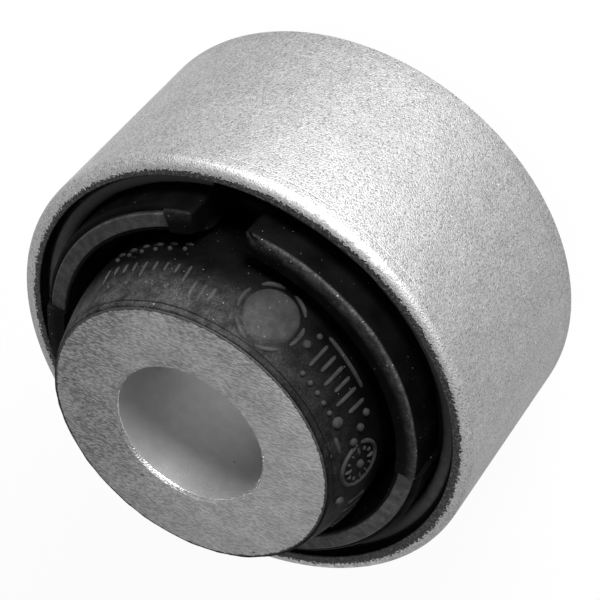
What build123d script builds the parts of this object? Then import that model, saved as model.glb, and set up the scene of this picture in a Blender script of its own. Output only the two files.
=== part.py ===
from build123d import *
import os

# Rubber metal bush: an inner and an outer metal sleeve, one rubber moulding bonded between them,
# and two half shells bedded in the rubber. Millimetres. The bore runs along +Z, and the bush
# stands on the lower end face of its inner sleeve. Both ends are alike.

# Inner sleeve: the thick tube that the bolt clamps.
bore_diameter = 14.2
inner_sleeve_wall = 6.3
inner_sleeve_length = 38.7
bore_chamfer = 0.3
end_face_chamfer = 0.15

# Outer sleeve: the thin tube that is pressed into the arm.
outer_sleeve_wall = 1.7
outer_sleeve_length = 21.3
outer_sleeve_edge_radius = 0.9
outer_sleeve_lead_in = 0.15

# Half shells: two halves of a ring that stiffen the rubber, with a gap between their edges.
shell_wall = 1.5
shell_overhang = 1.9
shell_gap = 6.4
shell_end_chamfer = 0.15

# Rubber between the metal pieces, measured along the radius.
inner_rubber_thickness = 3.4
outer_rubber_thickness = 2.5

# Rubber round the half shells.
cap_thickness = 0.45
cap_outer_rounding = 0.25
cap_inner_rounding = 0.1
shell_coat = 0.6
shell_lining = 1.2
shell_lining_at_end = 0.2
shell_edge_cover = 0.75

# Shallow trough between the half shells and the outer sleeve.
trough_depth = 2.0
trough_corner_radius = 0.45
lip_width = 0.65
lip_depth = 0.9
lip_rounding = 0.5

# Deep groove between the inner sleeve's rubber skin and the half shells.
groove_depth = 6.0
groove_shoulder_depth = 0.2
groove_shoulder_rounding = 1.2
groove_skin_thickness = 0.6

# Rubber skin that bulges round the inner sleeve beyond the outer sleeve's ends.
bulge_gap = 0.57
bulge_height = 2.4
skin_setback = 0.5
skin_edge_thickness = 0.35

# Slots that run right through the rubber, along the gap between the half shells.
sleeve_lining = 0.6
slot_clearance = 0.35
slot_corner_radius = 1.0

# Windows in the rubber caps, where the ends of the half shells lie bare, as angles from a slot.
window_start_angle = 16
window_end_angle = 82
slot_angles = (90, 270)

# Radii, from the bore outwards.
bore_radius = bore_diameter / 2
inner_sleeve_radius = bore_radius + inner_sleeve_wall
shell_inner_radius = inner_sleeve_radius + inner_rubber_thickness
shell_outer_radius = shell_inner_radius + shell_wall
outer_sleeve_bore_radius = shell_outer_radius + outer_rubber_thickness
outer_sleeve_radius = outer_sleeve_bore_radius + outer_sleeve_wall

# Heights above the middle of the bush.
middle_height = inner_sleeve_length / 2
sleeve_end = outer_sleeve_length / 2
shell_end = sleeve_end + shell_overhang
cap_top = shell_end + cap_thickness
skin_top = middle_height - skin_setback

# The outline of one half of the rubber is drawn on this plane, with the axis at x = 0.
section_plane = Plane(origin=(0, 0, middle_height), x_dir=(1, 0, 0), z_dir=(0, -1, 0))

# ---- Inner sleeve ----

with BuildPart() as inner_sleeve:
    with BuildSketch(Plane.XY):
        Circle(inner_sleeve_radius)
        Circle(bore_radius, mode=Mode.SUBTRACT)
    extrude(amount=inner_sleeve_length)
    inner_sleeve_rings = inner_sleeve.edges().filter_by(GeomType.CIRCLE).group_by(SortBy.RADIUS)
    chamfer(inner_sleeve_rings[0], length=bore_chamfer)
    inner_sleeve_rings = inner_sleeve.edges().filter_by(GeomType.CIRCLE).group_by(SortBy.RADIUS)
    chamfer(inner_sleeve_rings[-1], length=end_face_chamfer)

# ---- Outer sleeve ----

with BuildPart() as outer_sleeve:
    with BuildSketch(Plane.XY.offset(middle_height - sleeve_end)):
        Circle(outer_sleeve_radius)
        Circle(outer_sleeve_bore_radius, mode=Mode.SUBTRACT)
    extrude(amount=outer_sleeve_length)
    outer_sleeve_rings = outer_sleeve.edges().filter_by(GeomType.CIRCLE).group_by(SortBy.RADIUS)
    chamfer(outer_sleeve_rings[0], length=outer_sleeve_lead_in)
    outer_sleeve_rings = outer_sleeve.edges().filter_by(GeomType.CIRCLE).group_by(SortBy.RADIUS)
    fillet(outer_sleeve_rings[-1], radius=outer_sleeve_edge_radius)

# ---- Half shells ----


def make_half_shell(gap_plane):
    """Make the half of the ring that lies beyond its gap plane."""
    with BuildPart() as half_shell:
        with BuildSketch(Plane.XY.offset(middle_height - shell_end)):
            Circle(shell_outer_radius)
            Circle(shell_inner_radius, mode=Mode.SUBTRACT)
        extrude(amount=2 * shell_end)
        shell_rims = half_shell.edges().filter_by(GeomType.CIRCLE)
        chamfer(shell_rims, length=shell_end_chamfer)
        split(bisect_by=gap_plane, keep=Keep.TOP)
    return half_shell


right_half_shell = make_half_shell(Plane.YZ.offset(shell_gap / 2))
left_half_shell = make_half_shell(-Plane.YZ.offset(-shell_gap / 2))

# ---- Rubber body ----

bulge_radius = shell_inner_radius - shell_lining - bulge_gap
bulge_centre = sleeve_end + bulge_height
groove_skin_radius = inner_sleeve_radius + groove_skin_thickness
groove_wall_radius = shell_inner_radius - shell_lining
groove_bottom_radius = (groove_wall_radius - groove_skin_radius) / 2
groove_bottom = sleeve_end - groove_depth
groove_arc_centre = groove_bottom + groove_bottom_radius
cap_inner_radius = shell_inner_radius - shell_lining_at_end
cap_outer_radius = shell_outer_radius + shell_coat
lip_radius = outer_sleeve_bore_radius - lip_width

slot_width = shell_gap - 2 * shell_edge_cover
slot_inner_radius = bulge_radius + slot_clearance
slot_outer_radius = outer_sleeve_bore_radius - sleeve_lining

window_inner_radius = groove_wall_radius
window_width = shell_outer_radius - window_inner_radius
window_radius = window_inner_radius + window_width / 2
window_height = 2 * cap_thickness
window_planes = (
    Plane.XY.offset(middle_height + shell_end),
    Plane.XY.offset(middle_height - shell_end - window_height),
)

with BuildPart() as rubber_body:
    with BuildSketch(section_plane):
        with BuildLine():
            skin_bond = Line((inner_sleeve_radius, 0), (inner_sleeve_radius, skin_top))
            skin_edge = Line(skin_bond @ 1, (inner_sleeve_radius + skin_edge_thickness, skin_top))
            bulge_crest = (bulge_radius, bulge_centre)
            TangentArc(bulge_crest, skin_edge @ 1, tangent=(0, 1))
            TangentArc(bulge_crest, (groove_skin_radius, groove_arc_centre), tangent=(0, -1))
            ThreePointArc(
                (groove_skin_radius, groove_arc_centre),
                (groove_skin_radius + groove_bottom_radius, groove_bottom),
                (groove_wall_radius, groove_arc_centre),
            )
            outer_outline = FilletPolyline(
                (groove_wall_radius, groove_arc_centre),
                (groove_wall_radius, sleeve_end - groove_shoulder_depth),
                (cap_inner_radius, shell_end),
                (cap_inner_radius, cap_top),
                (cap_outer_radius, cap_top),
                (cap_outer_radius, sleeve_end - trough_depth),
                (lip_radius, sleeve_end - lip_depth),
                (outer_sleeve_bore_radius, sleeve_end - outer_sleeve_lead_in),
                (outer_sleeve_bore_radius, 0),
                radius=(
                    groove_shoulder_rounding,
                    0,
                    cap_inner_rounding,
                    cap_outer_rounding,
                    trough_corner_radius,
                    lip_rounding,
                    0,
                ),
            )
            Line(outer_outline @ 1, skin_bond @ 0)
        make_face()
        mirror(about=Plane.XZ)
    revolve(axis=Axis.Z)

    # The slots take both sides of the rubber, and leave a lining on the outer sleeve.
    with BuildSketch(Plane.XY) as slots:
        Circle(slot_outer_radius)
        Circle(slot_inner_radius, mode=Mode.SUBTRACT)
        Rectangle(slot_width, 2 * slot_outer_radius, mode=Mode.INTERSECT)
        fillet(slots.vertices(), radius=slot_corner_radius)
    extrude(amount=inner_sleeve_length, mode=Mode.SUBTRACT)

    # The windows bare the ends of the half shells and leave the coat outside them.
    with BuildSketch(*window_planes):
        for slot_angle in slot_angles:
            with BuildLine():
                CenterArc(
                    (0, 0),
                    window_radius,
                    slot_angle + window_start_angle,
                    window_end_angle - window_start_angle,
                )
            trace(line_width=window_width)
    extrude(amount=window_height, mode=Mode.SUBTRACT)

    # The half shells fill their own space in the rubber.
    add((right_half_shell.part, left_half_shell.part), mode=Mode.SUBTRACT)

# ---- Export ----

os.makedirs("parts", exist_ok=True)

inner_sleeve.part.label = "inner_sleeve"
export_step(inner_sleeve.part, "parts/inner_sleeve.step")

outer_sleeve.part.label = "outer_sleeve"
export_step(outer_sleeve.part, "parts/outer_sleeve.step")

right_half_shell.part.label = "right_half_shell"
export_step(right_half_shell.part, "parts/right_half_shell.step")

left_half_shell.part.label = "left_half_shell"
export_step(left_half_shell.part, "parts/left_half_shell.step")

rubber_body.part.label = "rubber_body"
export_step(rubber_body.part, "parts/rubber_body.step")
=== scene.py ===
import math

import bmesh
import bpy
import numpy as np
from mathutils import Matrix, Vector, noise


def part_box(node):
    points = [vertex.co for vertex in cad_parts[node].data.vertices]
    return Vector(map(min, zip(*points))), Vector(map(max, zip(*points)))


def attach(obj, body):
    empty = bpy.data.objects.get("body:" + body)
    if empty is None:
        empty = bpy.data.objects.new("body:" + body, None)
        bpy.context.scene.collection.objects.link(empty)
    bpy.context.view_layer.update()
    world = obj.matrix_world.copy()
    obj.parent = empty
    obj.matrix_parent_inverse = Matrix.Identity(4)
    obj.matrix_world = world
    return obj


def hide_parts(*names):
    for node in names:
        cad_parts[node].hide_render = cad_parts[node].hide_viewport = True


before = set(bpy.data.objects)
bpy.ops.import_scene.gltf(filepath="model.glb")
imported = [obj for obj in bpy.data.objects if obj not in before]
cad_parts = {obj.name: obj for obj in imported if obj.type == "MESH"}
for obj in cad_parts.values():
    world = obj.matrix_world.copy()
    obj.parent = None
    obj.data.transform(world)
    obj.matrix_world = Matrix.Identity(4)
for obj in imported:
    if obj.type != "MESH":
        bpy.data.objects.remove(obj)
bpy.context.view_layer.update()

bl_info = {
    "name": "Rubber Metal Bush",
    "version": (1, 0, 0),
    "blender": (4, 5, 0),
    "location": "View3D > Sidebar > Bush",
    "description": "Builds the sleeves, half shells, rubber moulding and moulded marks of a bush",
    "category": "Object",
}

MM = 0.001
ROOT_BODY = "root"

# Sockets of Blender's mix node when it mixes colours.
MIX_FACTOR = 0
MIX_A = 6
MIX_B = 7
MIX_COLOUR = 2

# The range that most noise lies in.
NOISE_LOW = 0.3
NOISE_HIGH = 0.7

sleeve_low, sleeve_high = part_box("outer_sleeve")
core_low, core_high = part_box("inner_sleeve")

# Main sizes of the bush in millimetres. Heights are above its middle.
MIDDLE = (core_low.z + core_high.z) / 2 / MM
SLEEVE_RADIUS = sleeve_high.x / MM
SLEEVE_END = (sleeve_high.z - sleeve_low.z) / 2 / MM
SLEEVE_WALL = 1.7
SLEEVE_BORE = SLEEVE_RADIUS - SLEEVE_WALL
CORE_RADIUS = core_high.x / MM
CORE_END = (core_high.z - core_low.z) / 2 / MM
CORE_BORE = 7.1
SHELL_OUTER = 18.3
SHELL_END = SLEEVE_END + 1.9
CAP_TOP = SHELL_END + 0.45
CAP_INNER = 16.6
CAP_OUTER = 18.9
SKIN_TOP = CORE_END - 0.12
BULGE_RADIUS = 15.03
BULGE_CREST = SLEEVE_END + 2.4
BULGE_CURVE = 28.5
BULGE_TAPER = 0.093
GROOVE_MIDDLE = 14.8
GROOVE_OUTER = 15.6
GROOVE_ROUNDING = 0.8
GROOVE_BOTTOM = SLEEVE_END - 6.0
SLOT_HALF = 2.45
SLOT_INNER = 15.38
SLOT_OUTER = 20.2
SLOT_CORNER = 1.0
SLOT_ANGLES = (90.0, 270.0)

# The windows in the caps, as turns in degrees from the middle of a slot.
WINDOW_START = 16.0
WINDOW_END = 82.0

# The stage, in metres: the floor and its glow, the two lamps, and the camera with its own axes.
FLOOR_REACH = 3.0
FLOOR_GLOW = 0.93
KEY_PLACE = (0.092, 0.335, 0.085)
KEY_SIZE = 0.13
FILL_PLACE = (0.10, 0.173, 0.366)
FILL_SIZE = 0.22
CAMERA_PLACE = (0.07793503, 0.13509921, 0.15722239)
CAMERA_LENS = 137.39
CAMERA_SENSOR = 36.0
CAMERA_NEAR = 0.001
CAMERA_RIGHT = (0.87849646, -0.01706275, -0.47744407)
CAMERA_UP = (-0.29767615, 0.76210905, -0.57495974)
CAMERA_BACK = (0.37367484, 0.64722381, 0.66443093)

# How much dust lies all over the moulded marks.
MARK_DUST = 0.036


# -------------------------------- sizes and colours


class BushMetalSettings(bpy.types.PropertyGroup):
    """Sizes and colours of the two sleeves and the half shells."""

    segments: bpy.props.IntProperty(
        name="Segments", description="Steps round each turned sleeve", default=300, min=64
    )
    upper_edge_rounding: bpy.props.FloatProperty(
        name="Upper edge rounding",
        description="Radius of the outer sleeve's upper edge",
        default=0.9 * MM,
        unit="LENGTH",
    )
    lower_edge_rounding: bpy.props.FloatProperty(
        name="Lower edge rounding",
        description="Radius of the outer sleeve's lower edge",
        default=0.2 * MM,
        unit="LENGTH",
    )
    bore_chamfer: bpy.props.FloatProperty(
        name="Bore chamfer",
        description="Width of the chamfer at each end of the bolt bore",
        default=0.3 * MM,
        unit="LENGTH",
    )
    wall_colour: bpy.props.FloatVectorProperty(
        name="Outer sleeve",
        description="Colour of the outer sleeve's metal",
        subtype="COLOR",
        size=3,
        default=(0.285, 0.285, 0.285),
    )
    face_colour: bpy.props.FloatVectorProperty(
        name="Inner sleeve",
        description="Colour of the inner sleeve's metal",
        subtype="COLOR",
        size=3,
        default=(0.23, 0.23, 0.23),
    )
    shell_colour: bpy.props.FloatVectorProperty(
        name="Half shells",
        description="Colour of the coated half shells",
        subtype="COLOR",
        size=3,
        default=(0.035, 0.035, 0.035),
    )


class BushRubberSettings(bpy.types.PropertyGroup):
    """Sizes and colours of the rubber moulding and its marks."""

    rubber_colour: bpy.props.FloatVectorProperty(
        name="Rubber",
        description="Colour of the rubber",
        subtype="COLOR",
        size=3,
        default=(0.0008, 0.0008, 0.0008),
    )
    dust_colour: bpy.props.FloatVectorProperty(
        name="Dust",
        description="Colour of the dust that lies on the rubber",
        subtype="COLOR",
        size=3,
        default=(0.35, 0.35, 0.35),
    )
    mark_height: bpy.props.FloatProperty(
        name="Mark height",
        description="How far the moulded marks stand out of the rubber",
        default=0.22 * MM,
        unit="LENGTH",
    )
    mark_width: bpy.props.FloatProperty(
        name="Mark width",
        description="Width of a moulded stroke",
        default=0.42 * MM,
        unit="LENGTH",
    )


class BushStageSettings(bpy.types.PropertyGroup):
    """Strength of the lamps and the shade of the floor."""

    floor_colour: bpy.props.FloatVectorProperty(
        name="Floor",
        description="Colour of the floor",
        subtype="COLOR",
        size=3,
        default=(0.82, 0.82, 0.82),
    )
    sky_strength: bpy.props.FloatProperty(
        name="Sky", description="Strength of the even light from all round", default=0.2
    )
    key_power: bpy.props.FloatProperty(
        name="Key lamp", description="Power of the low lamp", default=4.7, unit="POWER"
    )
    fill_power: bpy.props.FloatProperty(
        name="Fill lamp", description="Power of the high lamp", default=0.9, unit="POWER"
    )


# -------------------------------- mesh helpers


def add_mesh(name, verts_mm, faces, crease_degrees):
    """Make a smooth object, sharp where it turns past an angle, from vertices in millimetres."""
    mesh = bpy.data.meshes.new(name)
    mesh.from_pydata([tuple(v) for v in np.asarray(verts_mm, float) * MM], [], faces)
    work = bmesh.new()
    work.from_mesh(mesh)
    bmesh.ops.remove_doubles(work, verts=work.verts, dist=1e-7)
    loose = [v for v in work.verts if not v.link_faces]
    bmesh.ops.delete(work, geom=loose, context="VERTS")
    bmesh.ops.recalc_face_normals(work, faces=work.faces)
    work.to_mesh(mesh)
    work.free()
    mesh.shade_smooth()
    mesh.set_sharp_from_angle(angle=math.radians(crease_degrees))
    obj = bpy.data.objects.new(name, mesh)
    bpy.context.scene.collection.objects.link(obj)
    return obj


def finish_piece(obj, material, slot_name, *nodes):
    """Give a piece its material and its body, and hide the nodes that it stands for. The slot name
    is not used.
    """
    obj.data.materials.clear()
    obj.data.materials.append(material)
    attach(obj, ROOT_BODY)
    if nodes:
        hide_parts(*nodes)


def rounded_line(corners, steps):
    """Points along a line of (radius, height, rounding) corners."""
    points = []
    count = len(corners)
    for k, (r, z, rounding) in enumerate(corners):
        here = Vector((r, z))
        if rounding == 0 or k in (0, count - 1):
            points.append(here)
            continue
        before = Vector(corners[k - 1][:2])
        after = Vector(corners[k + 1][:2])
        start = here + (before - here).normalized() * rounding
        end = here + (after - here).normalized() * rounding
        for step in range(steps + 1):
            t = step / steps
            points.append(start * (1 - t) ** 2 + here * 2 * t * (1 - t) + end * t**2)
    return [(p.x, p.y) for p in points]


def rounded_loop(corners, steps):
    """A closed outline with rounded corners, drawn from the middle of its last side."""
    first = corners[0]
    last = corners[-1]
    seam = ((first[0] + last[0]) / 2, (first[1] + last[1]) / 2, 0)
    return rounded_line([seam, *corners, seam], steps)[:-1]


def turn_loop(name, outline, segments, crease_degrees):
    """Turn a closed outline about the bore's axis into a ring."""
    verts = []
    faces = []
    count = len(outline)
    for i in range(segments):
        angle = math.tau * i / segments
        here = i * count
        beside = (i + 1) % segments * count
        for j, (r, z) in enumerate(outline):
            following = (j + 1) % count
            verts.append((r * math.cos(angle), r * math.sin(angle), MIDDLE + z))
            faces.append((here + j, beside + j, beside + following, here + following))
    return add_mesh(name, verts, faces, crease_degrees)


# -------------------------------- node helpers


def add_node(tree, kind, settings=None, sockets=None):
    """Add one node, set its properties, and set or link its sockets."""
    node = tree.nodes.new(kind)
    for key, value in (settings or {}).items():
        setattr(node, key, value)
    for key, value in (sockets or {}).items():
        if isinstance(value, bpy.types.NodeSocket):
            tree.links.new(value, node.inputs[key])
        else:
            node.inputs[key].default_value = value
    return node


class Graph:
    """Short calls that build one material's nodes. Lengths are in millimetres."""

    def __init__(self, name):
        self.material = bpy.data.materials.new(name)
        self.material.use_nodes = True
        self.tree = self.material.node_tree
        self.tree.nodes.clear()
        metres = self.add("ShaderNodeTexCoord").outputs["Object"]
        scaling = {0: metres, "Scale": 1 / MM}
        self.mm = self.add("ShaderNodeVectorMath", {"operation": "SCALE"}, scaling).outputs[0]
        self.x, self.y, z = self.add("ShaderNodeSeparateXYZ", None, {0: self.mm}).outputs
        self.height = self.less(z, MIDDLE)
        self.end = self.math("ABSOLUTE", self.height)
        square = self.plus(self.times(self.x, self.x), self.times(self.y, self.y))
        self.radius = self.math("SQRT", square)

    def add(self, kind, settings=None, sockets=None):
        """Add one node to this material."""
        return add_node(self.tree, kind, settings, sockets)

    def math(self, operation, a, b=0.0, clamp=False):
        """One sum on one or two values."""
        settings = {"operation": operation, "use_clamp": clamp}
        return self.add("ShaderNodeMath", settings, {0: a, 1: b}).outputs[0]

    def times(self, *values):
        """The product of some values."""
        product = values[0]
        for value in values[1:]:
            product = self.math("MULTIPLY", product, value)
        return product

    def plus(self, a, b):
        """The sum of two values."""
        return self.math("ADD", a, b)

    def less(self, a, b):
        """The first value less the second."""
        return self.math("SUBTRACT", a, b)

    def largest(self, *values):
        """The largest of some values."""
        found = values[0]
        for value in values[1:]:
            found = self.math("MAXIMUM", found, value)
        return found

    def ramp(self, value, low, high, to_low=0.0, to_high=1.0):
        """Map a range of a value smoothly onto another."""
        sockets = {"Value": value, "From Min": low, "From Max": high}
        sockets |= {"To Min": to_low, "To Max": to_high}
        settings = {"interpolation_type": "SMOOTHSTEP"}
        return self.add("ShaderNodeMapRange", settings, sockets).outputs[0]

    def stretched(self, along):
        """Coordinates scaled differently along each axis."""
        settings = {"operation": "MULTIPLY"}
        return self.add("ShaderNodeVectorMath", settings, {0: self.mm, 1: along}).outputs[0]

    def rotated(self, angle):
        """Coordinates turned about the bore's axis by an angle in radians."""
        settings = {"rotation_type": "Z_AXIS"}
        sockets = {0: self.mm, "Angle": angle}
        return self.add("ShaderNodeVectorRotate", settings, sockets).outputs[0]

    def wrapped(self, around, across, along):
        """Coordinates wrapped round the bore: the angle, the radius and the height, scaled."""
        angle = self.math("ARCTAN2", self.y, self.x)
        sockets = {
            0: self.times(angle, around),
            1: self.times(self.radius, across),
            2: self.times(self.height, along),
        }
        return self.add("ShaderNodeCombineXYZ", None, sockets).outputs[0]

    def noise(self, scale, detail, coords=None):
        """Cloudy noise with so many waves to a millimetre."""
        sockets = {"Vector": coords or self.mm, "Scale": scale, "Detail": detail}
        return self.add("ShaderNodeTexNoise", None, sockets).outputs[0]

    def clouds(self, scale, detail, low, high, coords=None):
        """Cloudy noise that mostly runs from one value to another."""
        return self.ramp(self.noise(scale, detail, coords), NOISE_LOW, NOISE_HIGH, low, high)

    def cells(self, scale):
        """Distance from scattered points, and a random colour for each."""
        node = self.add("ShaderNodeTexVoronoi", None, {"Vector": self.mm, "Scale": scale})
        return node.outputs["Distance"], node.outputs["Color"]

    def chosen(self, colour, limit):
        """One in the cells whose colour has more red than a limit, and nought in the others."""
        red = self.add("ShaderNodeSeparateColor", None, {0: colour}).outputs[0]
        return self.math("GREATER_THAN", red, limit)

    def grey(self, value):
        """A value as a grey colour."""
        return self.add("ShaderNodeCombineColor", None, {0: value, 1: value, 2: value}).outputs[0]

    def blend(self, share, a, b):
        """Mix two colours."""
        sockets = {MIX_FACTOR: share, MIX_A: a, MIX_B: b}
        return self.add("ShaderNodeMix", {"data_type": "RGBA"}, sockets).outputs[MIX_COLOUR]

    def shade(self, colour, factor):
        """Multiply a colour by a value."""
        settings = {"data_type": "RGBA", "blend_type": "MULTIPLY"}
        sockets = {MIX_FACTOR: 1.0, MIX_A: colour, MIX_B: self.grey(factor)}
        return self.add("ShaderNodeMix", settings, sockets).outputs[MIX_COLOUR]

    def bump(self, value, depth, strength):
        """Raise the surface by a value times a depth in millimetres."""
        sockets = {"Height": value, "Distance": depth * MM, "Strength": strength}
        return self.add("ShaderNodeBump", None, sockets).outputs[0]

    def finish(self, sockets):
        """Add the surface shader and the output."""
        shader = self.add("ShaderNodeBsdfPrincipled", None, sockets)
        self.add("ShaderNodeOutputMaterial", None, {0: shader.outputs[0]})
        return self.material


def rgba(colour, factor=1.0):
    """A colour property, made lighter or darker, as four numbers."""
    return (colour[0] * factor, colour[1] * factor, colour[2] * factor, 1.0)


def rgba_grey(level):
    """An even grey as four numbers."""
    return (level, level, level, 1.0)


# -------------------------------- finishes


def make_outer_metal(settings):
    """Bright blasted metal with a fine grain, painted glints, pits, a burnished edge with a
    painted highlight, and rubber adhesive.
    """
    g = Graph("drawn_sleeve_metal")
    fine = g.noise(6.5, 2.0)
    grain = g.ramp(fine, 0.30, 0.52, 0.52, 1.06)
    mottle = g.clouds(2.6, 2.0, 0.93, 1.06)
    clouds = g.clouds(0.35, 3.0, 0.95, 1.04)
    streaks = g.clouds(2.4, 3.0, 0.97, 1.03, g.wrapped(20.0, 1.0, 0.12))
    border = g.plus(g.height, g.clouds(1.4, 3.0, -0.25, 0.25))
    lower_band = g.ramp(border, 1.65 - SLEEVE_END, 1.4 - SLEEVE_END, 1.0, 0.92)
    tone = g.times(grain, mottle, clouds, streaks, lower_band)
    metal = g.shade(rgba(settings.wall_colour), tone)

    # Painted glints, bright specks that stand in for sparkle highlights, then dark specks, patches
    # of pits, and nicks along the lower edge.
    distance, cell = g.cells(2.9)
    painted_glints = g.times(g.chosen(cell, 0.86), g.ramp(distance, 0.22, 0.10, 0.0, 0.45))
    metal = g.blend(painted_glints, metal, rgba_grey(0.85))
    distance, _ = g.cells(0.22)
    specks = g.ramp(g.plus(distance, g.times(fine, 0.05)), 0.075, 0.045)
    distance, cell = g.cells(1.5)
    patches = g.ramp(g.noise(0.25, 4.0), 0.48, 0.66)
    pits = g.times(g.ramp(distance, 0.30, 0.16), g.chosen(cell, 0.6), patches, 0.8)
    lower_edge = g.ramp(g.height, 0.75 - SLEEVE_END, 0.45 - SLEEVE_END)
    nicks = g.times(g.ramp(g.noise(0.45, 4.0), 0.60, 0.66), lower_edge)
    marred = g.largest(specks, pits, nicks)
    metal = g.blend(g.times(marred, 0.7), metal, rgba_grey(0.08))

    # The upper edge, burnished by handling, mainly on one side: smoother there, and painted
    # lighter there as a painted highlight where the lamps' light falls.
    upper_edge = g.ramp(g.height, SLEEVE_END - 1.05, SLEEVE_END - 0.9)
    highlight_side = g.times(g.ramp(g.x, 3.0, 6.0), g.ramp(g.x, 16.5, 13.0))
    rubbed = g.ramp(g.noise(1.6, 3.0), 0.4, 0.6)
    burnish_and_highlight = g.times(upper_edge, rubbed, g.ramp(highlight_side, 0.0, 1.0, 0.1, 1.0))
    # Painted highlight: the edge's colour is lightened on the lit side.
    metal = g.blend(g.times(burnish_and_highlight, highlight_side, 0.8), metal, rgba(settings.wall_colour, 1.45))

    # Black adhesive inside, and over the end faces as far as a ragged edge.
    ragged = g.plus(g.radius, g.ramp(g.noise(3.6, 3.0), 0.25, 0.75, -0.22, 0.22))
    ragged = g.plus(ragged, g.ramp(g.x, -20.0, 16.0, 0.22, -0.08))
    on_end = g.times(
        g.ramp(ragged, SLEEVE_RADIUS - 0.88, SLEEVE_RADIUS - 1.05),
        g.ramp(g.end, SLEEVE_END - 0.34, SLEEVE_END - 0.12),
    )
    adhesive = g.largest(on_end, g.ramp(g.radius, SLEEVE_BORE + 0.12, SLEEVE_BORE + 0.04))
    black = g.grey(g.ramp(g.noise(3.4, 3.0), 0.42, 0.75, 0.003, 0.045))
    colour = g.blend(adhesive, metal, black)

    metallic = g.less(1.0, g.largest(adhesive, g.times(marred, 0.6)))
    rough = g.clouds(3.0, 2.0, 0.54, 0.66)
    rough = g.less(g.plus(rough, g.times(adhesive, 0.15)), g.times(burnish_and_highlight, 0.18))

    # The grain, calmer where burnished, with one turned line below the upper edge.
    from_line = g.math("ABSOLUTE", g.less(g.height, SLEEVE_END - 1.55))
    on_wall = g.ramp(g.radius, SLEEVE_RADIUS - 0.06, SLEEVE_RADIUS - 0.02)
    line = g.times(g.ramp(from_line, 0.09, 0.02), on_wall)
    relief = g.times(g.less(fine, g.times(line, 0.3)), g.less(1.0, g.times(burnish_and_highlight, 0.7)))
    relief = g.plus(relief, g.times(adhesive, g.noise(2.0, 3.0)))
    sockets = {"Base Color": colour, "Metallic": metallic, "Roughness": rough}
    return g.finish(sockets | {"Normal": g.bump(relief, 0.07, 0.9), "Specular IOR Level": 0.3})


def make_inner_metal(settings):
    """Ground and blasted metal of the inner sleeve, smoother in its bore."""
    g = Graph("inner_sleeve_metal")
    on_face = g.ramp(g.end, CORE_END - 0.35, CORE_END - 0.2)
    in_bore = g.ramp(g.radius, CORE_BORE + 0.28, CORE_BORE + 0.2)

    # The ground face, with smears, and a blotchy darkening that grows towards one side: partly
    # stain, partly painted shade on the side that lies away from the light.
    fine = g.noise(6.5, 1.5, g.stretched((0.42, 1.25, 1.0)))
    grain = g.ramp(fine, 0.32, 0.68, 0.80, 1.20)
    smears = g.clouds(0.5, 2.0, 0.9, 1.05, g.rotated(0.8))
    stain_and_shade = g.ramp(g.less(g.times(g.y, 0.55), g.x), -9.0, 9.0)
    blotches = g.ramp(g.noise(0.16, 2.0), 0.35, 0.6, 0.35, 1.0)
    stain_and_shade = g.times(stain_and_shade, blotches, g.ramp(fine, 0.35, 0.65, 0.55, 0.22))
    tone = g.times(grain, smears, g.less(1.0, stain_and_shade))
    face = g.shade(rgba(settings.face_colour), tone)
    bore_tone = g.ramp(g.noise(1.0, 2.0), 0.2, 0.8, 0.94, 1.05)
    bore = g.shade(rgba(settings.face_colour, 2.9), bore_tone)
    colour = g.blend(on_face, bore, face)

    # Dark specks, and rubber flash round the edge of the face.
    distance, _ = g.cells(0.33)
    specks = g.times(g.ramp(g.plus(distance, g.times(fine, 0.04)), 0.085, 0.06), 0.8)
    colour = g.blend(specks, colour, rgba_grey(0.03))
    rim = g.plus(g.radius, g.ramp(g.noise(2.4, 3.0), 0.25, 0.75, -0.07, 0.07))
    flash = g.times(
        g.ramp(rim, CORE_RADIUS - 0.22, CORE_RADIUS - 0.16),
        g.ramp(g.noise(1.3, 3.0), 0.2, 0.45, 0.85, 1.0),
    )
    colour = g.blend(flash, colour, rgba_grey(0.02))

    bare = g.less(1.0, g.largest(specks, flash))
    metallic = g.math("SUBTRACT", bare, g.times(in_bore, 0.12), True)
    rough = g.clouds(2.0, 2.0, 0.5, 0.62)
    rough = g.plus(g.times(rough, g.less(1.0, in_bore)), g.times(in_bore, 0.24))
    normal = g.bump(g.times(fine, on_face), 0.1, 0.9)
    sockets = {"Base Color": colour, "Metallic": metallic, "Roughness": rough}
    return g.finish(sockets | {"Normal": normal, "Specular IOR Level": 0.1})


def make_shell_coat(settings):
    """Dull grey coat of the half shells, mottled where rubber has been wiped off, with painted
    shade on their side walls.
    """
    g = Graph("shell_coat")
    fine = g.noise(6.0, 2.0)
    # Mottled, darker towards one side, with a fine grain, and painted shade that darkens the side
    # walls below the end face.
    tone = g.times(
        g.ramp(g.noise(1.1, 4.0), 0.3, 0.72, 0.45, 1.3),
        g.ramp(g.x, -14.0, 10.0, 0.45, 1.0),
        g.ramp(fine, 0.25, 0.75, 0.75, 1.25),
        g.ramp(g.end, SHELL_END - 0.2, SHELL_END - 0.02, 0.12, 1.0),
    )
    colour = g.shade(rgba(settings.shell_colour), tone)
    rough = g.clouds(2.5, 2.0, 0.5, 0.68)
    normal = g.bump(fine, 0.06, 0.7)
    sockets = {"Base Color": colour, "Roughness": rough, "Normal": normal}
    return g.finish(sockets | {"Specular IOR Level": 0.15})


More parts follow.
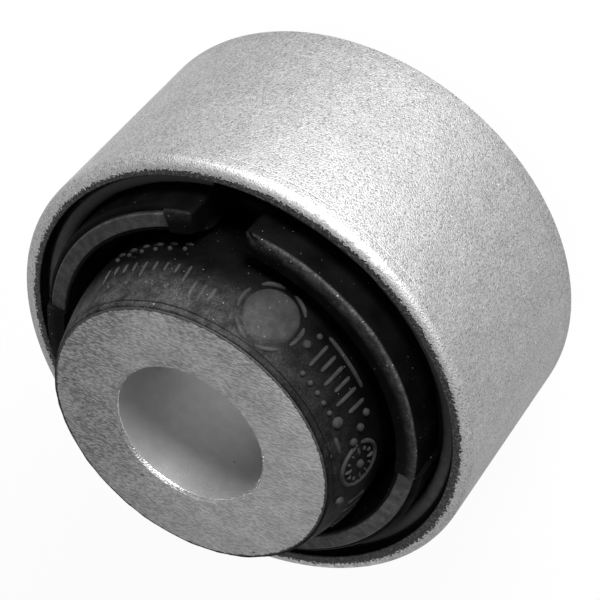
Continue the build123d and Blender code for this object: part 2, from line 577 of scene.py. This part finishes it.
def make_rubber(settings, name, dust_share):
    """Black moulded rubber, dusty in places with painted light and shade worked into the dust,
    with an even share of dust on all of it.
    """
    g = Graph(name)
    soft = g.noise(0.4, 3.0)
    grit = g.ramp(g.noise(5.0, 3.0), 0.38, 0.72, 0.7, 1.45)
    black = g.shade(rgba(settings.rubber_colour), g.ramp(soft, NOISE_LOW, NOISE_HIGH, 0.7, 1.4))
    dust = rgba(settings.dust_colour)

    # Dust on the skin next to the end faces, less in a thin line just below its edge. Part of it
    # is painted light: it grows towards the top of the bulge and to one side, where light falls,
    # and fades towards the groove, where shade falls.
    crease = g.ramp(g.math("ABSOLUTE", g.less(g.end, SKIN_TOP - 0.5)), 0.10, 0.02)
    skin = g.times(
        g.ramp(g.end, BULGE_CREST + 0.6, SKIN_TOP - 0.6),
        g.ramp(g.radius, 15.6, 15.0),
        g.ramp(g.noise(0.9, 4.0), 0.25, 0.7, 0.25, 1.0),
        grit,
        g.ramp(g.x, 13.0, -2.0, 0.25, 1.0),
        g.less(1.0, g.times(crease, 0.8)),
    )
    # Painted light and shade with the dust on the skin.
    colour = g.blend(g.times(skin, 0.07), black, dust)

    # Dust on the caps' edges, more on one side, partly a painted highlight along the edge on the
    # side where the lamps' light falls; and dust on the slope inside the outer sleeve, partly
    # painted light where the slope is lit.
    cap_edge = g.times(
        g.ramp(g.end, CAP_TOP - 0.45, CAP_TOP - 0.12),
        g.ramp(g.radius, 17.4, 18.6),
        grit,
    )
    cap_dust_and_highlight = g.times(
        cap_edge,
        g.clouds(1.2, 4.0, 0.5, 1.0),
        g.ramp(g.x, 1.0, 9.0, 0.2, 1.0),
    )
    # Painted highlight with dust along the caps' edges.
    colour = g.blend(g.times(cap_dust_and_highlight, 0.085), colour, dust)
    # Partly painted light: the slope inside the outer sleeve is lightened where light falls on it,
    # with dust.
    slope = g.times(
        g.ramp(g.radius, 18.95, 19.25),
        g.ramp(g.radius, 20.45, 20.2),
        g.ramp(g.end, SLEEVE_END - 1.9, SLEEVE_END - 1.0),
    )
    colour = g.blend(g.times(slope, 0.08), colour, dust)

    # Pale flecks, mostly where dust lies.
    distance, cell = g.cells(2.6)
    clouds = g.ramp(g.noise(0.6, 2.0), 0.42, 0.62)
    zone = g.largest(g.times(clouds, 0.25), skin, cap_edge)
    flecks = g.times(g.ramp(distance, 0.18, 0.10), g.chosen(cell, 0.80), zone, 0.35)
    colour = g.blend(flecks, colour, rgba_grey(0.5))
    if dust_share:
        rubbed = g.ramp(g.noise(1.1, 4.0), 0.3, 0.65, 0.65, 1.0)
        colour = g.blend(g.times(rubbed, dust_share), colour, dust)

    rough = g.ramp(soft, NOISE_LOW, NOISE_HIGH, 0.46, 0.6)
    relief = g.plus(g.noise(1.2, 3.0), g.times(g.noise(4.5, 3.0), 0.45))
    sockets = {"Base Color": colour, "Roughness": rough, "Normal": g.bump(relief, 0.09, 0.7)}
    return g.finish(sockets | {"Specular IOR Level": 0.02})


# -------------------------------- sleeves


def make_outer_sleeve(settings):
    """Turn the thin outer sleeve."""
    half = SLEEVE_END
    outline = rounded_loop(
        [
            (SLEEVE_RADIUS, half, settings.upper_edge_rounding / MM),
            (SLEEVE_BORE, half, 0.12),
            (SLEEVE_BORE, -half, 0.12),
            (SLEEVE_RADIUS, -half, settings.lower_edge_rounding / MM),
        ],
        8,
    )
    return turn_loop("outer_sleeve_wall", outline, settings.segments, 30.0)


def make_inner_sleeve(settings):
    """Turn the thick inner sleeve, with a chamfer at each end of its bore."""
    chamfer = settings.bore_chamfer / MM
    half = CORE_END
    outline = rounded_loop(
        [
            (CORE_RADIUS, half, 0.15),
            (CORE_BORE + chamfer, half, 0.04),
            (CORE_BORE, half - chamfer, 0.04),
            (CORE_BORE, -half + chamfer, 0.04),
            (CORE_BORE + chamfer, -half, 0.04),
            (CORE_RADIUS, -half, 0.15),
        ],
        3,
    )
    return turn_loop("inner_sleeve_tube", outline, settings.segments, 25.0)


# -------------------------------- rubber moulding


def bulge_at(height):
    """Radius of the rubber skin round the inner sleeve at a height above the middle."""
    above = height - BULGE_CREST
    if above >= 0:
        return BULGE_RADIUS - BULGE_TAPER * above**1.5
    return BULGE_RADIUS - BULGE_CURVE + math.sqrt(BULGE_CURVE**2 - above**2)


# The shallow trough inside the outer sleeve: (radius, height from the sleeve's end).
TROUGH = (
    (18.90, -2.60),
    (18.97, -2.15),
    (19.05, -1.84),
    (19.20, -1.50),
    (19.45, -1.22),
    (19.75, -1.04),
    (20.05, -0.96),
    (20.28, -0.98),
    (20.42, -1.08),
    (20.50, -1.16),
    (20.58, -1.08),
    (20.66, -0.85),
    (20.74, -0.50),
    (20.80, -0.15),
)


def trough_at(radius):
    """Height of the trough above the middle at a radius."""
    return SLEEVE_END + float(np.interp(radius, *zip(*TROUGH)))


def groove_arc(turn, side):
    """A point on the round bottom of the groove: degrees from its lowest point, and the side."""
    angle = math.radians(turn)
    return (
        GROOVE_MIDDLE + side * GROOVE_ROUNDING * math.sin(angle),
        GROOVE_BOTTOM + GROOVE_ROUNDING - GROOVE_ROUNDING * math.cos(angle),
    )


def inner_profile():
    """The skin, bulge and groove from the inner sleeve down to the groove's bottom."""
    points = [(CORE_RADIUS, SKIN_TOP), (CORE_RADIUS + 0.1, SKIN_TOP)]
    for height in np.concatenate(
        [
            np.linspace(SKIN_TOP - 0.02, SKIN_TOP - 0.2, 3),
            np.linspace(SKIN_TOP - 0.6, BULGE_CREST, 13),
            np.linspace(BULGE_CREST - 0.7, GROOVE_BOTTOM + GROOVE_ROUNDING, 9),
        ]
    ):
        points.append((bulge_at(height), height))
    return points + [groove_arc(turn, -1) for turn in (60, 30, 0)]


def shoulder_profile():
    """The groove's far wall and the slope up to the cap."""
    slope = rounded_line(
        [
            (GROOVE_OUTER, GROOVE_BOTTOM + GROOVE_ROUNDING, 0),
            (GROOVE_OUTER, SLEEVE_END - 0.2, 0.6),
            (CAP_INNER, SHELL_END, 0),
        ],
        6,
    )
    return [groove_arc(turn, 1) for turn in range(0, 91, 10)] + slope[1:]


INNER = inner_profile()
SHOULDER = shoulder_profile()
SHOULDER_STEPS = 12
TROUGH_STEPS = 14
TROUGH_START = 19
COLUMN_TURN = 0.9
RING_START = 16.38
RING_END = 19.2

# Turns along the rubber are measured at this radius. A slot's side lies at this turn there.
TURN_RADIUS = 17.6
SLOT_TURN = math.degrees(math.asin(SLOT_HALF / TURN_RADIUS))

# Steps round a slot's corners in degrees, and distances from its side in millimetres.
CORNER_STEPS = (15, 28, 38.5, 39.5, 52, 64, 76, 84, 90)
SIDE_STEPS = (0, 0.03, 0.08, 0.16, 0.27, 0.4, 0.55, 0.7, 0.9, 1.15, 1.45, 1.8)

# The caps: the rounding of their ends, how far that draws them in, and the tilt of their tops.
CAP_ROUNDING = 0.7
CAP_DRAW_IN = 0.5
CAP_MIDDLE = 18
CAP_TILT = 0.02

# Past a window a cap starts at this share of its width and widens again from a turn onwards.
NARROW_SHARE = 0.3
NARROW_END = 100.0
NARROW_FADE = 30.0

# The ring over the half shells: (radius, height where the cap covers it, height in a window).
RING = (
    (16.50, SHELL_END - 0.21, SHELL_END - 0.21),
    (16.58, SHELL_END - 0.02, SHELL_END - 0.04),
    (16.60, SHELL_END + 0.14, SHELL_END - 0.01),
    (16.61, CAP_TOP - 0.10, SHELL_END),
    (16.65, CAP_TOP - 0.03, SHELL_END),
    (16.72, CAP_TOP, SHELL_END),
    (16.80, CAP_TOP, SHELL_END - 0.02),
    (16.86, CAP_TOP, SHELL_END - 0.40),
    (17.20, CAP_TOP, SHELL_END - 0.40),
    (17.60, CAP_TOP, SHELL_END - 0.40),
    (18.00, CAP_TOP, SHELL_END - 0.40),
    (18.24, CAP_TOP, SHELL_END - 0.40),
    (18.30, CAP_TOP, SHELL_END - 0.42),
    (18.33, CAP_TOP, SHELL_END - 0.40),
    (18.38, CAP_TOP, SHELL_END - 0.38),
    (18.50, CAP_TOP, SHELL_END - 0.37),
    (18.64, CAP_TOP, SHELL_END - 0.40),
    (18.74, CAP_TOP - 0.02, SHELL_END - 0.46),
    (18.83, CAP_TOP - 0.08, SHELL_END - 0.56),
    (18.88, CAP_TOP - 0.16, SHELL_END - 0.70),
    (18.90, CAP_TOP - 0.26, SHELL_END - 0.86),
    (18.90, CAP_TOP - 1.1, SHELL_END - 1.3),
    (18.90, CAP_TOP - 2.3, SHELL_END - 2.1),
    (18.90, CAP_TOP - 3.4, SHELL_END - 3.0),
    (18.90, SLEEVE_END - 2.20, SLEEVE_END - 2.20),
    (18.93, SLEEVE_END - 2.35, SLEEVE_END - 2.35),
    (18.98, SLEEVE_END - 2.12, SLEEVE_END - 2.12),
    (19.06, SLEEVE_END - 1.82, SLEEVE_END - 1.82),
)


def resample(points, count):
    """The same line with its points evenly spaced."""
    line = np.asarray(points, float)
    lengths = np.concatenate([[0], np.cumsum(np.hypot(*np.diff(line, axis=0).T))])
    where = np.linspace(0, lengths[-1], count)
    return [(np.interp(w, lengths, line[:, 0]), np.interp(w, lengths, line[:, 1])) for w in where]


def shoulder_to(radius):
    """The far side of the groove, as far out as a radius, where a slot cuts it off."""
    kept = [SHOULDER[0]]
    for before, after in zip(SHOULDER, SHOULDER[1:]):
        if after[0] >= radius:
            span = after[0] - before[0]
            share = (radius - before[0]) / span if span > 1e-6 else 0.0
            kept.append((radius, before[1] + share * (after[1] - before[1])))
            break
        kept.append(after)
    return resample(kept, SHOULDER_STEPS)[1:]


def slot_reach(x):
    """Radii of the slot's two ends at a distance from its middle line."""
    past = max(0.0, x - (SLOT_HALF - SLOT_CORNER)) / SLOT_CORNER
    corner = SLOT_CORNER * (1 - math.sqrt(max(0.0, 1 - past**2)))
    return SLOT_INNER + corner, SLOT_OUTER - corner


def cap_point(kind, r, z, rounding, turn):
    """Shape a point of the ring over the half shells near a slot and past a window."""
    z = min(z, CAP_TOP - CAP_ROUNDING * rounding + (r - CAP_MIDDLE) * CAP_TILT)
    if SHELL_OUTER < r <= CAP_OUTER and kind == "ring" and turn > WINDOW_END:
        widen = min(1.0, max(0.0, (turn - NARROW_END) / NARROW_FADE))
        share = NARROW_SHARE + (1 - NARROW_SHARE) * widen
        r = SHELL_OUTER + (r - SHELL_OUTER) * share
    if r > SHELL_OUTER:
        draw_in = CAP_DRAW_IN * rounding * min(1.0, (r - SHELL_OUTER) / CAP_DRAW_IN)
        r -= draw_in if r < TROUGH_START else draw_in / 2
    return r, z


def column_points(kind, x, gap, turn):
    """One section of the upper half of the rubber, at a gap from the slot's side."""
    if kind == "slot":
        start, end = slot_reach(x)
        points = INNER + shoulder_to(start)
        points.append((start, 0.0))
        for r, _, _ in RING[1:-1]:
            share = (r - RING_START) / (RING_END - RING_START)
            points.append((start + share * (end - start), 0.0))
        points.append((end, 0.0))
    else:
        end = RING_END
        points = INNER + shoulder_to(RING_START)
        rounding = 0.0
        if gap < CAP_ROUNDING:
            rounding = 1 - math.sqrt(1 - (1 - gap / CAP_ROUNDING) ** 2)
        for r, covered, bare in RING:
            z = bare if kind == "window" else covered
            points.append(cap_point(kind, r, z, rounding, turn))
    for r in np.linspace(end, SLEEVE_BORE, TROUGH_STEPS):
        points.append((r, trough_at(r)))
    points.append((SLEEVE_BORE, 0.0))
    return [(CORE_RADIUS, 0.0), *points]


def half_turn_columns():
    """Sections from the middle of one slot to the middle of the next, as (kind, side, x, turn)."""
    flat = SLOT_HALF - SLOT_CORNER
    corner = [flat + SLOT_CORNER * math.sin(math.radians(step)) for step in CORNER_STEPS]
    inside = [0.0, 0.5, 1.0, flat, *corner]
    near = [SLOT_TURN + math.degrees(step / TURN_RADIUS) for step in SIDE_STEPS]
    before = [*near, 14.6, 15.3, 15.75, WINDOW_START - 0.08]
    window = [WINDOW_START + step for step in (0.06, 0.3, 0.8)]
    window += list(np.arange(17.6, 81.0, COLUMN_TURN))
    window += [WINDOW_END - step for step in (0.8, 0.3, 0.06)]
    past = [WINDOW_END + step for step in (0.08, 0.3, 0.7)]
    past += list(np.arange(83.5, 180.0 - near[-1] - 0.4, COLUMN_TURN))
    columns = [("slot", 1, x, 0.0) for x in inside]
    columns += [("ring", 1, 0.0, turn) for turn in before]
    columns += [("window", 1, 0.0, turn) for turn in window]
    columns += [("ring", 1, 0.0, turn) for turn in past]
    columns += [("ring", -1, 0.0, turn) for turn in reversed(near)]
    columns += [("slot", -1, x, 0.0) for x in reversed(inside[1:])]
    return columns


def column_angle(kind, side, x, turn, radius):
    """Angle of a point from the middle of the first slot, in radians."""
    if kind == "slot":
        angle = math.asin(x / radius)
        return angle if side > 0 else math.pi - angle
    angle = math.radians(turn)
    if side > 0 and turn > 90:
        return angle
    # Next to a slot the sections lie along its flat side, and fan out over six degrees.
    wall = math.asin(SLOT_HALF / TURN_RADIUS)
    share = max(0.0, 1 - (angle - wall) / math.radians(6.0))
    share = share * share * (3 - 2 * share)
    angle += share * (math.asin(SLOT_HALF / radius) - wall)
    return angle if side > 0 else math.pi - angle


# How far apart the patches of lumps lie, and how far torn rubber reaches from a slot.
FAR_OFF = 40
TORN_OFF = 9
TORN_REACH = 1.8

# The bare ends of the half shells, and the rubber close to the sleeves, stay even.
BARE_INNER = 16.7
BARE_OUTER = 18.35
EVEN_INNER = CORE_RADIUS + 0.2
EVEN_OUTER = SLEEVE_BORE - 0.3


def lump(x, y, z, size, depth):
    """Gentle unevenness of moulded rubber."""
    return depth * noise.noise(Vector((x / size, y / size, z / size)))


def unevenness(kind, side, gap, r, z, angle):
    """A point of the moulding's surface, moved as moulded rubber is uneven."""
    x, y = r * math.cos(angle), r * math.sin(angle)
    z -= abs(lump(x, y, z, 2.2, 0.10)) + abs(lump(x + FAR_OFF, y, z, 0.9, 0.05))
    r += lump(x, y + FAR_OFF, z, 2.6, 0.05)
    if kind == "ring" and side < 0 and gap < TORN_REACH and r > 16:
        rough = 1 - gap / TORN_REACH
        z -= rough * abs(lump(x, y, z + TORN_OFF, 0.7, 0.8))
        r += rough * lump(x + TORN_OFF, y, z, 0.7, 0.3)
    return r, z


def make_rubber_body():
    """The rubber moulding: skins, grooves, caps with their windows, troughs and slots."""
    columns = half_turn_columns()
    verts = []
    kinds = []
    for slot_angle in SLOT_ANGLES:
        for kind, side, x, turn in columns:
            gap = math.radians(turn - SLOT_TURN) * TURN_RADIUS if kind != "slot" else 0.0
            section = column_points(kind, x, gap, turn)
            kinds.append(kind)
            for r, z in section:
                angle = math.radians(slot_angle) + column_angle(kind, side, x, turn, r)
                on_shell = kind == "window" and BARE_INNER < r < BARE_OUTER
                if z > 0 and EVEN_INNER < r < EVEN_OUTER and not on_shell:
                    r, z = unevenness(kind, side, gap, r, z, angle)
                verts.append((r * math.cos(angle), r * math.sin(angle), z))

    # Both halves are joined along the middle, except where a slot runs through.
    count = len(section)
    start = len(INNER) + SHOULDER_STEPS
    opening = range(start, start + len(RING) - 1)
    total = len(kinds)
    faces = []
    for i in range(total):
        here = i * count
        beside = (i + 1) % total * count
        in_slot = kinds[i] == "slot" and kinds[(i + 1) % total] == "slot"
        for j in range(count - 1):
            if in_slot and j in opening:
                continue
            quad = (here + j, beside + j, beside + j + 1, here + j + 1)
            faces.append(quad)
            faces.append(tuple(reversed([total * count + k for k in quad])))
    upper = np.asarray(verts)
    both = np.concatenate([upper, upper * (1.0, 1.0, -1.0)])
    both[:, 2] += MIDDLE
    return add_mesh("rubber_moulding", both, faces, 42.0)


# -------------------------------- moulded marks


# Marks are drawn as (length round the bulge, height), and stand SUNK deep in the rubber.
# Curves take a step every so many degrees.
ARC_LENGTH = math.radians(1.0) * BULGE_RADIUS
SUNK = 0.06
STROKE_SIDES = 6
STROKE_TAPER = 0.55
LINE_STEP = 0.25
CURVE_STEP = 12
SLOPE_STEP = 0.05


def on_bulge(length, height, lift):
    """A point over the bulge: length round it, height above the middle, and lift."""
    rise = bulge_at(height + SLOPE_STEP) - bulge_at(height - SLOPE_STEP)
    slope = rise / (2 * SLOPE_STEP)
    out = Vector((1.0, -slope)).normalized()
    r = bulge_at(height) + out.x * lift
    angle = length / BULGE_RADIUS
    return (r * math.cos(angle), r * math.sin(angle), height + out.y * lift + MIDDLE)


def stroke(points, width, height, verts, faces):
    """Add one rounded ridge along a line of points, tapered at its ends."""
    sides = STROKE_SIDES
    first = len(verts)
    last = len(points) - 1
    for k, (length, level) in enumerate(points):
        before = points[max(k - 1, 0)]
        after = points[min(k + 1, last)]
        along = Vector((after[0] - before[0], after[1] - before[1])).normalized()
        size = 1.0 if 0 < k < last else STROKE_TAPER
        for side in range(sides):
            angle = math.pi * side / (sides - 1)
            off = math.cos(angle) * width / 2 * size
            lift = math.sin(angle) * height * size - SUNK
            verts.append(on_bulge(length - along.y * off, level + along.x * off, lift))
    for k in range(last):
        here = first + k * sides
        following = here + sides
        for side in range(sides - 1):
            faces.append((here + side, following + side, following + side + 1, here + side + 1))
        faces.append((here + sides - 1, following + sides - 1, following, here))
    end = first + last * sides
    faces.append(tuple(range(first, first + sides)))
    faces.append(tuple(reversed(range(end, end + sides))))


def add_rings(centre, rings, sides, verts, faces):
    """Add a closed button from rings of (radius, lift) round a centre."""
    first = len(verts)
    for radius, lift in rings:
        for side in range(sides):
            angle = math.tau * side / sides
            x, y = radius * math.cos(angle), radius * math.sin(angle)
            verts.append(on_bulge(centre[0] + x, centre[1] + y, lift))
    for low in range(first, first + (len(rings) - 1) * sides, sides):
        for side in range(sides):
            following = (side + 1) % sides
            quad = (side, following, sides + following, sides + side)
            faces.append(tuple(low + k for k in quad))
    faces.append(tuple(reversed(range(first, first + sides))))


def pip(centre, radius, height, verts, faces):
    """Add one small domed pip."""
    rings = []
    for ring in range(5):
        angle = math.pi * ring / 8
        sunk = SUNK if ring else 2 * SUNK
        rings.append((radius * math.cos(angle) ** 0.5, height * math.sin(angle) - sunk))
    add_rings(centre, rings, 12, verts, faces)


def pad(centre, radius, height, verts, faces):
    """Add one large round pad with a rounded edge and a nearly flat top."""
    edge = 0.35
    crown = 0.15
    rings = []
    for ring in range(10):
        share = ring / 9
        rise = min(1.0, share * radius / edge) ** 0.5 * (1 - crown + crown * share)
        sunk = SUNK if ring else 2 * SUNK
        rings.append((radius * (1 - share), height * rise - sunk))
    add_rings(centre, rings, 48, verts, faces)


def make_marks(settings):
    """Plain moulder's marks on the bulge: a ringed pad, bars, pips, dashes and a dial."""
    width = settings.mark_width / MM
    height = settings.mark_height / MM
    verts = []
    faces = []

    def spot(turn, above):
        return turn * ARC_LENGTH, above + BULGE_CREST

    def line(a, b, wide, high):
        steps = max(2, round(math.dist(a, b) / LINE_STEP))
        way = (b[0] - a[0], b[1] - a[1])
        points = [(a[0] + way[0] * k / steps, a[1] + way[1] * k / steps) for k in range(steps + 1)]
        stroke(points, width * wide, height * high, verts, faces)

    def bar(turn, low, top, wide, high):
        line(spot(turn, low), spot(turn, top), wide, high)

    def dash(start, end, above, wide, high):
        line(spot(start, above), spot(end, above), wide, high)

    def curve(centre, radius, start, end, wide, high):
        steps = max(4, round((end - start) / CURVE_STEP))
        points = []
        for k in range(steps + 1):
            angle = math.radians(start + (end - start) * k / steps)
            x, y = radius * math.cos(angle), radius * math.sin(angle)
            points.append((centre[0] + x, centre[1] + y))
        stroke(points, width * wide, height * high, verts, faces)

    def dot(centre, radius, high):
        pip(centre, radius, height * high, verts, faces)

    # A smooth round pad with an evenly broken ring round it.
    centre = spot(64.0, 2.45)
    pad(centre, 2.6, 0.34, verts, faces)
    for start in range(-20, 340, 60):
        curve(centre, 2.98, start, start + 40, 1.1, 1.3)

    # A plain scale of bars and pips to one side of the pad.
    dot(spot(49.5, 2.3), 0.42, 1.6)
    dot(spot(48.0, 0.9), 0.30, 1.2)
    for k in range(5):
        turn = 44.0 - 4.2 * k
        bar(turn, 0.9, 2.9 if k % 2 else 3.4, 1.0, 1.2)
        dot(spot(turn, 4.3), 0.26, 1.4)
    dash(45.5, 25.5, 0.2, 1.0, 1.1)
    dot(spot(22.3, 4.0), 0.55, 2.0)
    bar(22.0, 0.6, 2.6, 1.1, 1.2)
    dash(18.0, 11.5, 4.7, 1.0, 1.0)
    for k in range(3):
        dot(spot(17.5 - 3.0 * k, 0.9 + 1.1 * k), 0.38, 1.7)

    # A plain dial of twelve marks with a pip in its middle, and a few bars beyond it.
    dial = spot(1.0, 2.7)
    curve(dial, 2.1, 0, 348, 1.0, 1.2)
    for k in range(12):
        angle = math.radians(30.0 * k)
        reaches = (1.25, 1.65) if k % 3 else (1.0, 1.75)
        ends = [
            (dial[0] + reach * math.cos(angle), dial[1] + reach * math.sin(angle))
            for reach in reaches
        ]
        line(*ends, 0.7, 1.2)
    dot(dial, 0.42, 1.8)
    dot(spot(-10.5, 4.9), 0.45, 2.2)
    for k in range(5):
        bar(-17.0 - 4.0 * k, 1.2, 3.4 + 0.4 * (k % 2), 1.0, 1.0)

    # A scale of dashes, ticks and pips to the other side.
    for k in range(6):
        start = 101.0 + 5.6 * k
        low = -0.9 + 0.12 * k
        dash(start, start + 3.0, low, 0.9, 1.2)
        dot(spot(start + 1.5, low + 0.75), 0.22, 1.3)
    for k in range(9):
        turn = 96.0 + 4.4 * k
        bar(turn, 1.6, 2.6 if k % 4 else 3.3, 0.75, 0.8)
        if k % 2:
            dot(spot(turn, 3.9), 0.2, 0.8)
    for k in range(3):
        bar(84.0 + 3.6 * k, 2.9, 4.6, 0.9, 1.0)

    return add_mesh("moulded_marks", verts, faces, 50.0)


# -------------------------------- stage


def seen_directly(tree):
    """One for what a camera, a gloss or a clear piece sees, and nought for other light."""
    path = add_node(tree, "ShaderNodeLightPath")
    value = path.outputs["Is Camera Ray"]
    for name in ("Is Glossy Ray", "Is Transmission Ray"):
        sockets = {0: value, 1: path.outputs[name]}
        value = add_node(tree, "ShaderNodeMath", {"operation": "MAXIMUM"}, sockets).outputs[0]
    return value


def make_floor(settings):
    """A pale floor that looks white to the camera and keeps a soft shadow."""
    mesh = bpy.data.meshes.new("floor")
    near, far = -FLOOR_REACH, FLOOR_REACH
    corners = [(near, near, 0.0), (far, near, 0.0), (far, far, 0.0), (near, far, 0.0)]
    mesh.from_pydata(corners, [], [(0, 1, 2, 3)])
    floor = bpy.data.objects.new("floor", mesh)
    bpy.context.scene.collection.objects.link(floor)

    material = bpy.data.materials.new("pale_floor")
    material.use_nodes = True
    tree = material.node_tree
    tree.nodes.clear()
    sockets = {0: seen_directly(tree), 1: FLOOR_GLOW}
    share = add_node(tree, "ShaderNodeMath", {"operation": "MULTIPLY"}, sockets)
    matt = add_node(tree, "ShaderNodeBsdfDiffuse", None, {"Color": rgba(settings.floor_colour)})
    glow = add_node(tree, "ShaderNodeEmission", None, {"Strength": 1.0})
    sockets = {0: share.outputs[0], 1: matt.outputs[0], 2: glow.outputs[0]}
    mix = add_node(tree, "ShaderNodeMixShader", None, sockets)
    add_node(tree, "ShaderNodeOutputMaterial", None, {0: mix.outputs[0]})
    mesh.materials.append(material)


def make_world(settings):
    """Surroundings that look white, and light the bush at a strength of their own."""
    world = bpy.data.worlds.new("studio")
    bpy.context.scene.world = world
    world.use_nodes = True
    tree = world.node_tree
    sockets = {"Value": seen_directly(tree), "To Min": settings.sky_strength, "To Max": 1.0}
    strength = add_node(tree, "ShaderNodeMapRange", None, sockets)
    background = tree.nodes["Background"]
    background.inputs["Color"].default_value = rgba_grey(1.0)
    tree.links.new(strength.outputs[0], background.inputs["Strength"])


def add_lamp(name, place, size, power):
    """One square lamp that points at the bush."""
    data = bpy.data.lights.new(name, "AREA")
    data.shape = "SQUARE"
    data.size = size
    data.energy = power
    lamp = bpy.data.objects.new(name, data)
    bpy.context.scene.collection.objects.link(lamp)
    lamp.location = place
    aim = Vector((0.0, 0.0, MIDDLE * MM)) - Vector(place)
    lamp.rotation_mode = "QUATERNION"
    lamp.rotation_quaternion = aim.to_track_quat("-Z", "Y")


def make_camera():
    """The camera that looks at the front of the bush from above."""
    data = bpy.data.cameras.new("camera")
    camera = bpy.data.objects.new("camera", data)
    bpy.context.scene.collection.objects.link(camera)
    data.lens = CAMERA_LENS
    data.sensor_width = CAMERA_SENSOR
    data.clip_start = CAMERA_NEAR
    matrix = Matrix((CAMERA_RIGHT, CAMERA_UP, CAMERA_BACK)).transposed().to_4x4()
    matrix.translation = CAMERA_PLACE
    camera.matrix_world = matrix
    bpy.context.scene.camera = camera


# -------------------------------- operators


class BUSH_OT_outer_sleeve(bpy.types.Operator):
    """Build the thin outer sleeve"""

    bl_idname = "bush.outer_sleeve"
    bl_label = "Outer sleeve"

    def execute(self, context):
        settings = context.scene.bush_metal
        sleeve = make_outer_sleeve(settings)
        finish_piece(sleeve, make_outer_metal(settings), "outer_sleeve_metal", "outer_sleeve")
        return {"FINISHED"}


class BUSH_OT_inner_sleeve(bpy.types.Operator):
    """Build the thick inner sleeve"""

    bl_idname = "bush.inner_sleeve"
    bl_label = "Inner sleeve"

    def execute(self, context):
        settings = context.scene.bush_metal
        sleeve = make_inner_sleeve(settings)
        finish_piece(sleeve, make_inner_metal(settings), "inner_sleeve_metal", "inner_sleeve")
        return {"FINISHED"}


class BUSH_OT_half_shells(bpy.types.Operator):
    """Finish the two half shells"""

    bl_idname = "bush.half_shells"
    bl_label = "Half shells"

    def execute(self, context):
        material = make_shell_coat(context.scene.bush_metal)
        for name in ("right_half_shell", "left_half_shell"):
            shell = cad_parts[name]
            shell.data.materials.clear()
            shell.data.materials.append(material)
        return {"FINISHED"}


class BUSH_OT_rubber(bpy.types.Operator):
    """Build the rubber moulding and its marks"""

    bl_idname = "bush.rubber"
    bl_label = "Rubber moulding"

    def execute(self, context):
        settings = context.scene.bush_rubber
        body = make_rubber(settings, "moulded_rubber", 0.0)
        marks = make_rubber(settings, "rubbed_rubber_marks", MARK_DUST)
        finish_piece(make_rubber_body(), body, "rubber", "rubber_body")
        finish_piece(make_marks(settings), marks, "rubber")
        return {"FINISHED"}


class BUSH_OT_stage(bpy.types.Operator):
    """Set up the floor, the lamps and the camera"""

    bl_idname = "bush.stage"
    bl_label = "Stage"

    def execute(self, context):
        settings = context.scene.bush_stage
        make_floor(settings)
        make_world(settings)
        add_lamp("key", KEY_PLACE, KEY_SIZE, settings.key_power)
        add_lamp("fill", FILL_PLACE, FILL_SIZE, settings.fill_power)
        make_camera()
        context.scene.view_settings.view_transform = "Standard"
        return {"FINISHED"}


OPERATORS = (
    BUSH_OT_outer_sleeve,
    BUSH_OT_inner_sleeve,
    BUSH_OT_half_shells,
    BUSH_OT_rubber,
    BUSH_OT_stage,
)


class BUSH_PT_panel(bpy.types.Panel):
    """Sizes, colours and building steps of the bush"""

    bl_idname = "BUSH_PT_panel"
    bl_label = "Rubber Metal Bush"
    bl_space_type = "VIEW_3D"
    bl_region_type = "UI"
    bl_category = "Bush"

    def draw(self, context):
        layout = self.layout
        for name, group in GROUPS.items():
            box = layout.box()
            for setting in group.__annotations__:
                box.prop(getattr(context.scene, name), setting)
        for operator in OPERATORS:
            layout.operator(operator.bl_idname)


GROUPS = {
    "bush_metal": BushMetalSettings,
    "bush_rubber": BushRubberSettings,
    "bush_stage": BushStageSettings,
}


def register():
    """Register the settings, operators and panel."""
    for name, group in GROUPS.items():
        bpy.utils.register_class(group)
        setattr(bpy.types.Scene, name, bpy.props.PointerProperty(type=group))
    for operator in OPERATORS:
        bpy.utils.register_class(operator)
    bpy.utils.register_class(BUSH_PT_panel)


def unregister():
    """Take the panel, operators and settings away again."""
    bpy.utils.unregister_class(BUSH_PT_panel)
    for operator in reversed(OPERATORS):
        bpy.utils.unregister_class(operator)
    for name, group in GROUPS.items():
        delattr(bpy.types.Scene, name)
        bpy.utils.unregister_class(group)


def main():
    """Build the bush and its stage."""
    register()
    bpy.ops.bush.outer_sleeve()
    bpy.ops.bush.inner_sleeve()
    bpy.ops.bush.half_shells()
    bpy.ops.bush.rubber()
    bpy.ops.bush.stage()


if __name__ == "__main__":
    main()
